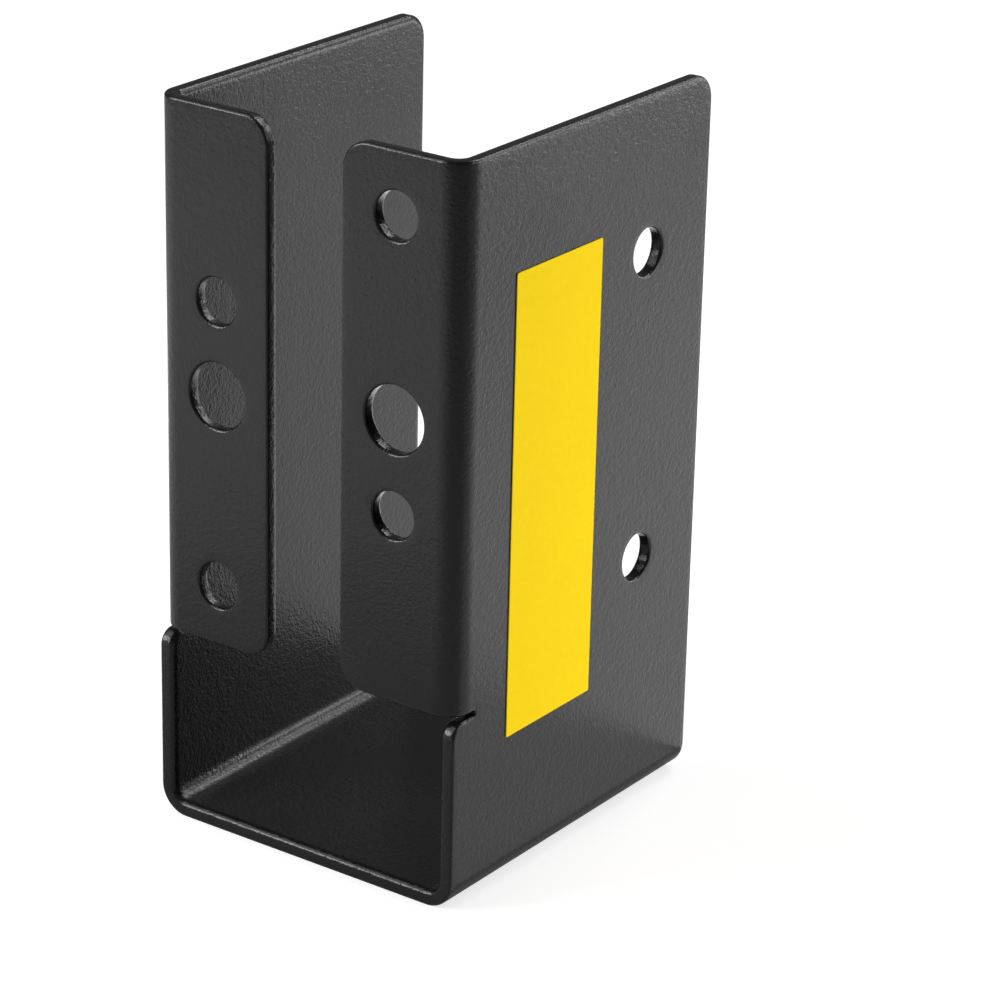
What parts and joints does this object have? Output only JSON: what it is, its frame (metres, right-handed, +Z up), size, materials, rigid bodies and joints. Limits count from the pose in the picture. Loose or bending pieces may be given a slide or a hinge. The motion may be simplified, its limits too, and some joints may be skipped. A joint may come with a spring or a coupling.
{
  "type": "concealed joist hanger",
  "caption": "Folded sheet-steel concealed joist hanger: U-shaped seat and side walls with header flanges turned inwards, screw and bolt holes, black powder coat and a blank yellow label.",
  "frame": {"origin": "on the underside of the seat, midway between the side walls and midway between the header face and the open back edge", "axes": "+X across the joist towards the wall with the label, +Y along the joist from the header face to the open back, +Z up from the seat"},
  "size_m": [0.0456, 0.051, 0.094],
  "materials": {
    "powder_coat": "satin black powder coat with a fine orange-peel texture",
    "label_film": "matte yellow self-adhesive film, left blank"
  },
  "bodies": {
    "root": {"hanger": "powder_coat", "label": "label_film"}
  },
  "joints": []
}
